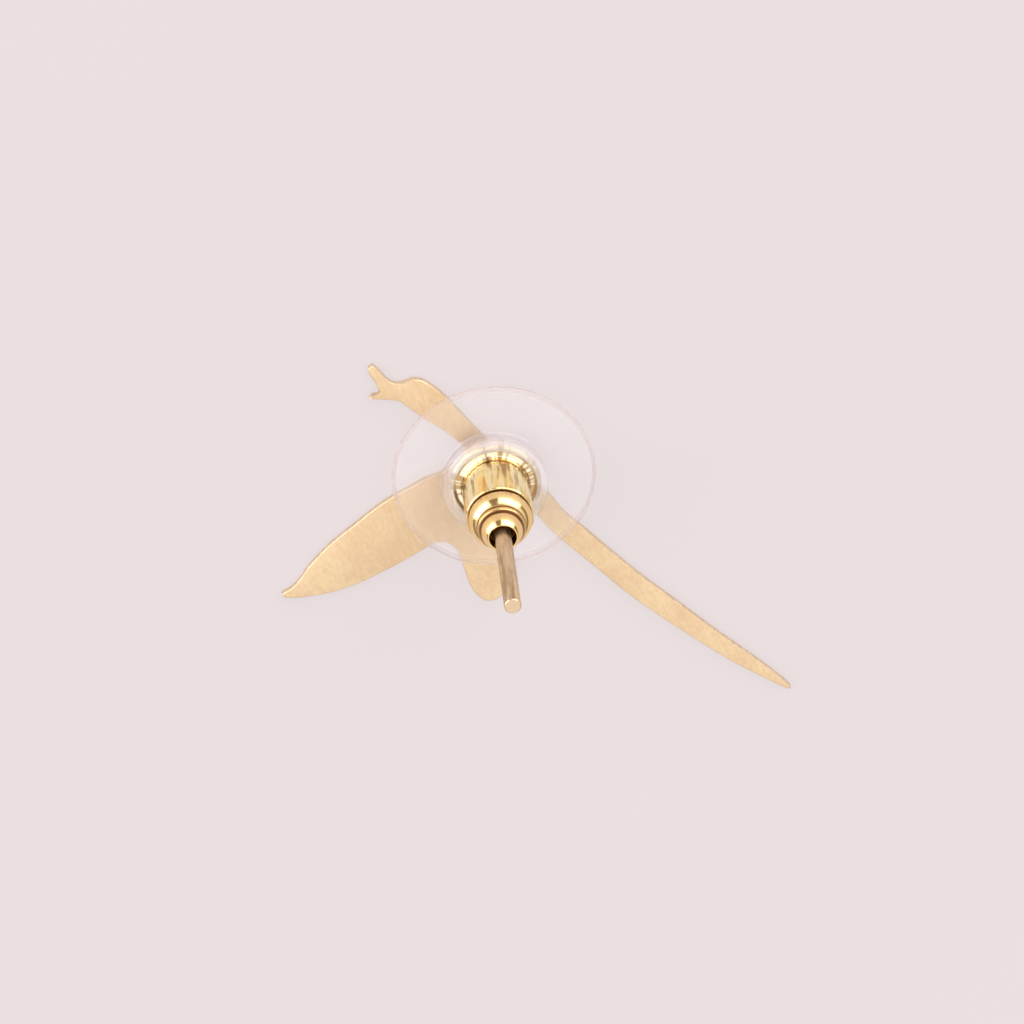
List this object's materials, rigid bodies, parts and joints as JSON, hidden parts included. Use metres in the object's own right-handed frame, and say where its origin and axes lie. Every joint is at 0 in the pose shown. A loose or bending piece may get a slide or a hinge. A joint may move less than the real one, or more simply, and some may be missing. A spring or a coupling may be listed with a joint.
{
  "type": "dragonfly stud earring",
  "caption": "Stud earring: a flat brushed plate cut as a dragonfly in side view, with a straight ear post, and a metal bullet clutch in a clear comfort disc that slides off the post.",
  "frame": {"origin": "on the post's axis, at the plate's front face, which is the face that the stud lies on", "axes": "+Z along the post, from the plate's front towards the post's free end; +X along the body towards the head; +Y towards the wings"},
  "size_m": [0.029, 0.0171, 0.0127],
  "materials": {
    "brushed_gold": "fine brushed satin",
    "polished_gold": "mirror polished",
    "clear_plastic": "clear, polished"
  },
  "bodies": {
    "stud": {"dragonfly_stud": "brushed_gold"},
    "clutch": {"clutch_barrel": "polished_gold", "clutch_disc": "clear_plastic"}
  },
  "joints": [
    {"name": "clutch_slide", "type": "slide", "parent": "stud", "child": "clutch", "axis": [0, 0, 1], "range_m": [0, 0.0125]}
  ]
}
